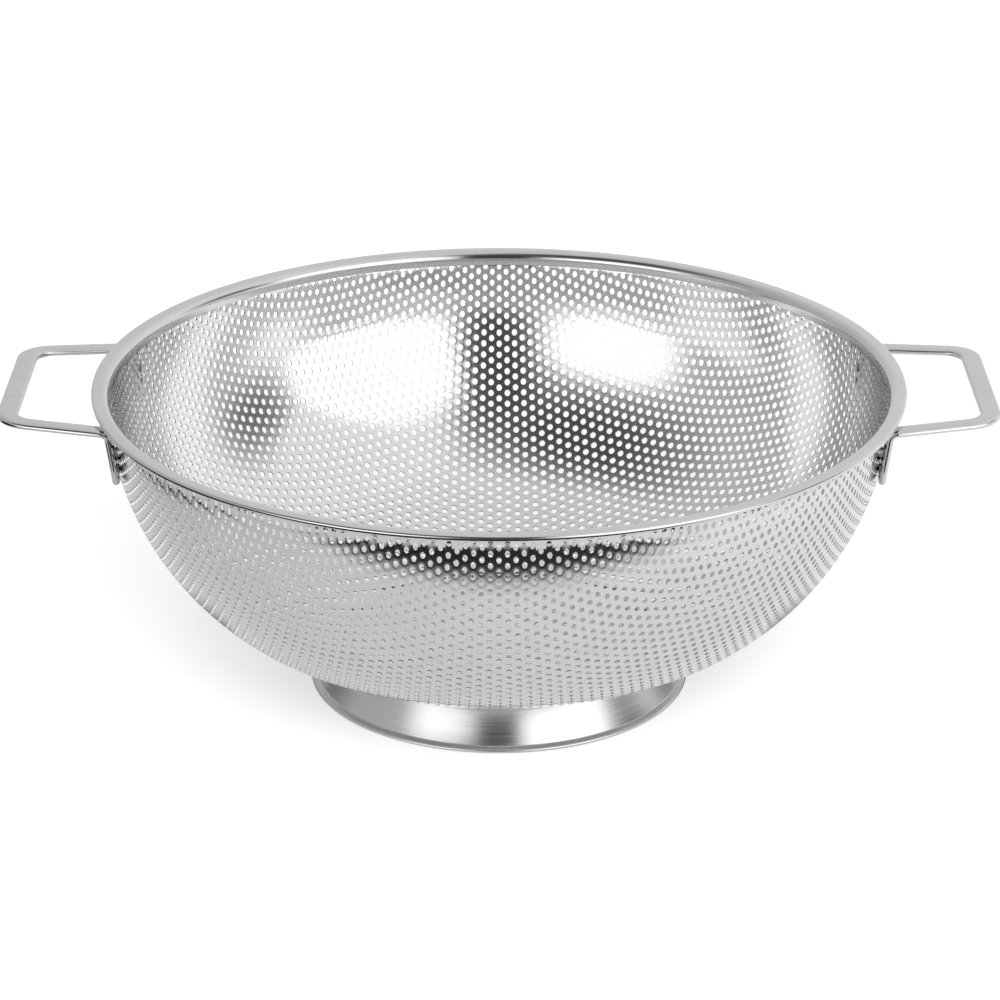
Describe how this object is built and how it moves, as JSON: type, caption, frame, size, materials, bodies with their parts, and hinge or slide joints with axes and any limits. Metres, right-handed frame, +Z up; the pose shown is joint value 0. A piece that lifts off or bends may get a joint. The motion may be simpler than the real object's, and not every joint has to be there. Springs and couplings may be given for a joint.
{
  "type": "colander",
  "caption": "Round perforated steel colander with a folded rim band, two welded loop handles and a conical foot ring.",
  "frame": {"origin": "middle of the foot ring's underside, where the colander stands", "axes": "+Z up through the middle of the bowl, +X along the line of the two handles"},
  "size_m": [0.3466, 0.286, 0.114],
  "materials": {
    "polished_steel": "polished sheet",
    "satin_steel": "satin",
    "brushed_steel": "brushed round the axis",
    "weld_steel": "dull weld bead"
  },
  "bodies": {
    "root": {"perforated_bowl": "polished_steel", "rim_band": "satin_steel", "base_ring": "brushed_steel", "left_handle": "satin_steel", "right_handle": "satin_steel", "handle_welds": "weld_steel"}
  },
  "joints": []
}
